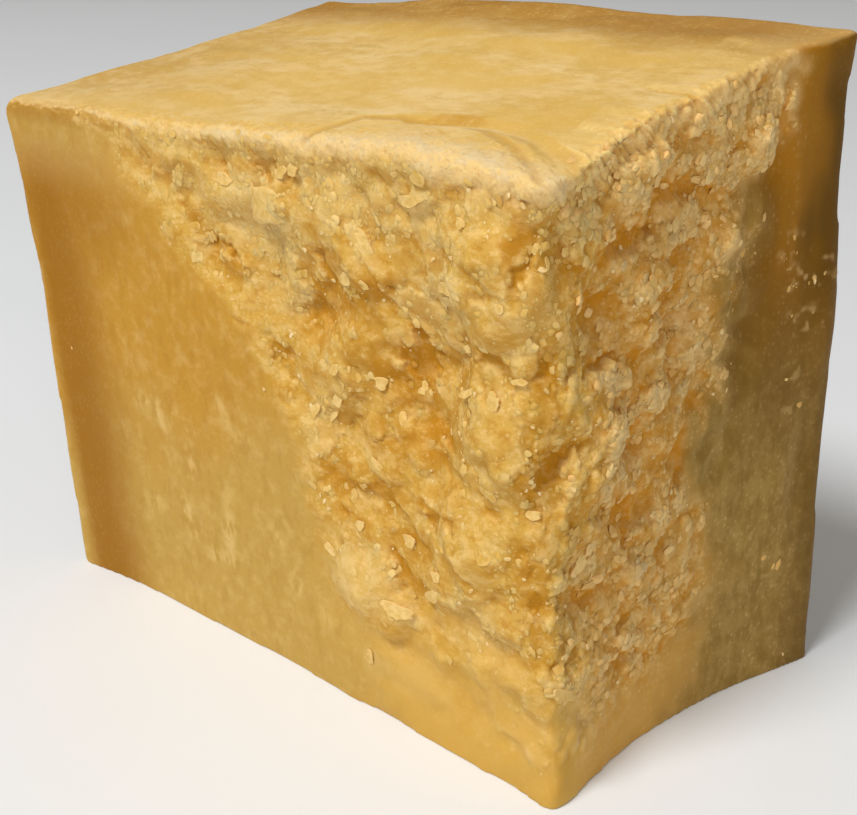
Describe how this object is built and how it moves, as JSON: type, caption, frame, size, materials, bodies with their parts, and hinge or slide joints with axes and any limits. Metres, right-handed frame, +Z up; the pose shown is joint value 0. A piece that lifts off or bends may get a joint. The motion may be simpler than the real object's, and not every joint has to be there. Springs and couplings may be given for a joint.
{
  "type": "hard cheese chunk",
  "caption": "Chunk of aged hard cheese cut as an upright block, with a flat foot and a craggy, flaky corner where it was broken open.",
  "frame": {"origin": "on the table, under the middle of the chunk's bounding box", "axes": "+X along the long cut face towards the broken corner, -Y out of the long cut face, +Z up"},
  "size_m": [0.1026, 0.0566, 0.0868],
  "materials": {
    "cheese_paste": "golden straw cheese paste, matte and slightly translucent, paler and crumbly where broken"
  },
  "bodies": {
    "root": {"cheese_chunk": "cheese_paste"}
  },
  "joints": []
}
